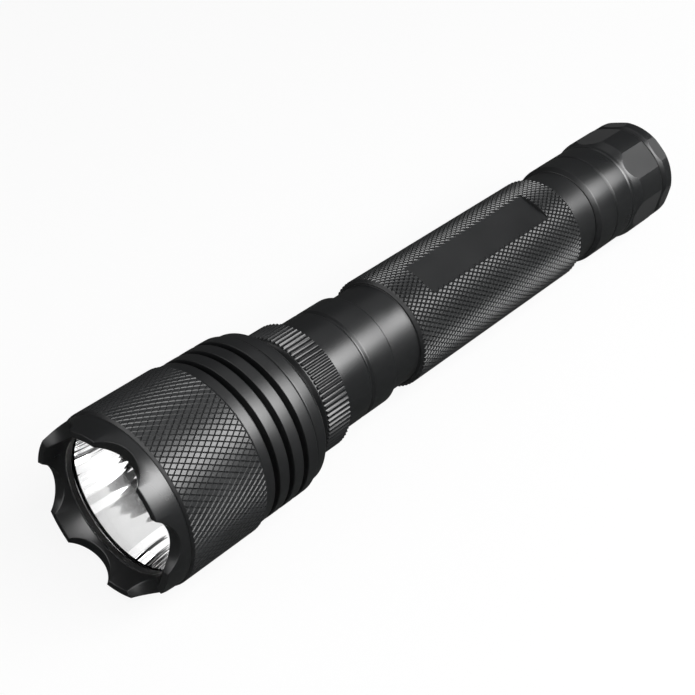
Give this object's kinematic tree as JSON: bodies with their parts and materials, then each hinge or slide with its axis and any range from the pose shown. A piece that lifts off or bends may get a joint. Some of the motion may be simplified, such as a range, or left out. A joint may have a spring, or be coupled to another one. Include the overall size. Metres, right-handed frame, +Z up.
{
  "type": "tactical flashlight",
  "caption": "Long black anodised flashlight with a knurled grip, finned head, scalloped bezel, selector ring and a screw-on tail cap with a recessed push switch.",
  "frame": {"origin": "under the middle of the light's length, on the surface that it lies on", "axes": "-X along the light's axis towards the lens, +Z up; the milled panel on the grip faces up, turned 19 degrees towards -Y"},
  "size_m": [0.195, 0.04, 0.04],
  "materials": {
    "black_anodised": "satin black hard anodised, turned and knurled",
    "cell_wrap": "printed-free plastic sleeve over a steel can",
    "seal_rubber": "smooth moulded",
    "boot_rubber": "matt moulded silicone",
    "switch_plastic": "moulded",
    "plunger_plastic": "moulded",
    "circuit_board": "lacquered laminate",
    "brass": "turned",
    "spring_steel": "plated",
    "led_board": "white lacquered",
    "led": "clear dome over phosphor",
    "spacer_plastic": "moulded",
    "bright_reflector": "smooth vacuum-metallised",
    "lens_glass": "clear, coated"
  },
  "bodies": {
    "tube": {"body_tube": "black_anodised", "cell_1": "cell_wrap", "cell_2": "cell_wrap", "cell_3": "cell_wrap", "tail_o_ring": "seal_rubber", "neck_o_ring": "seal_rubber"},
    "tail_contact": {"tail_spring": "spring_steel"},
    "tail_cap": {"tail_cap": "black_anodised", "switch_boot": "boot_rubber", "switch_housing": "switch_plastic", "switch_board": "circuit_board", "retaining_ring": "brass"},
    "button": {"switch_plunger": "plunger_plastic"},
    "front_contact": {"driver_spring": "brass"},
    "head": {"neck_sleeve": "black_anodised", "stop_pin": "spring_steel", "pill": "brass", "driver_board": "circuit_board", "led_board": "led_board", "led_emitter": "led", "led_spacer": "spacer_plastic", "head_shell": "black_anodised", "reflector": "bright_reflector"},
    "selector": {"selector_ring": "black_anodised", "selector_magnet": "spring_steel"},
    "lens_stack": {"lens": "lens_glass", "lens_seal": "seal_rubber"},
    "bezel": {"bezel_ring": "black_anodised"}
  },
  "joints": [
    {"name": "tail_cap_travel", "type": "slide", "parent": "tube", "child": "tail_contact", "axis": [1, 0, 0], "range_m": [0, 0.01351]},
    {"name": "tail_cap_turn", "type": "hinge", "parent": "tail_contact", "child": "tail_cap", "pos_m": [0.0795, 0, 0.02], "axis": [1, 0, 0], "range_deg": [0, 3240]},
    {"name": "button_press", "type": "slide", "parent": "tail_cap", "child": "button", "axis": [-1, 0, 0], "range_m": [0, 0.002], "stiffness_N_per_m": 1500, "deforming": ["switch_boot"]},
    {"name": "head_travel", "type": "slide", "parent": "tube", "child": "front_contact", "axis": [-1, 0, 0], "range_m": [0, 0.01351]},
    {"name": "head_turn", "type": "hinge", "parent": "front_contact", "child": "head", "pos_m": [-0.0525, 0, 0.02], "axis": [-1, 0, 0], "range_deg": [0, 3240]},
    {"name": "selector_turn", "type": "hinge", "parent": "head", "child": "selector", "pos_m": [-0.045, 0, 0.02], "axis": [-1, 0, 0], "range_deg": [-45, 45]},
    {"name": "bezel_travel", "type": "slide", "parent": "head", "child": "lens_stack", "axis": [-1, 0, 0], "range_m": [0, 0.00501]},
    {"name": "bezel_turn", "type": "hinge", "parent": "lens_stack", "child": "bezel", "pos_m": [-0.0925, 0, 0.02], "axis": [-1, 0, 0], "range_deg": [0, 1800]}
  ],
  "couplings": [
    {"joint": "tail_cap_travel", "follows": "tail_cap_turn", "m_per_rad": 0.00023873},
    {"joint": "head_travel", "follows": "head_turn", "m_per_rad": 0.00023873},
    {"joint": "bezel_travel", "follows": "bezel_turn", "m_per_rad": 0.00015915}
  ]
}
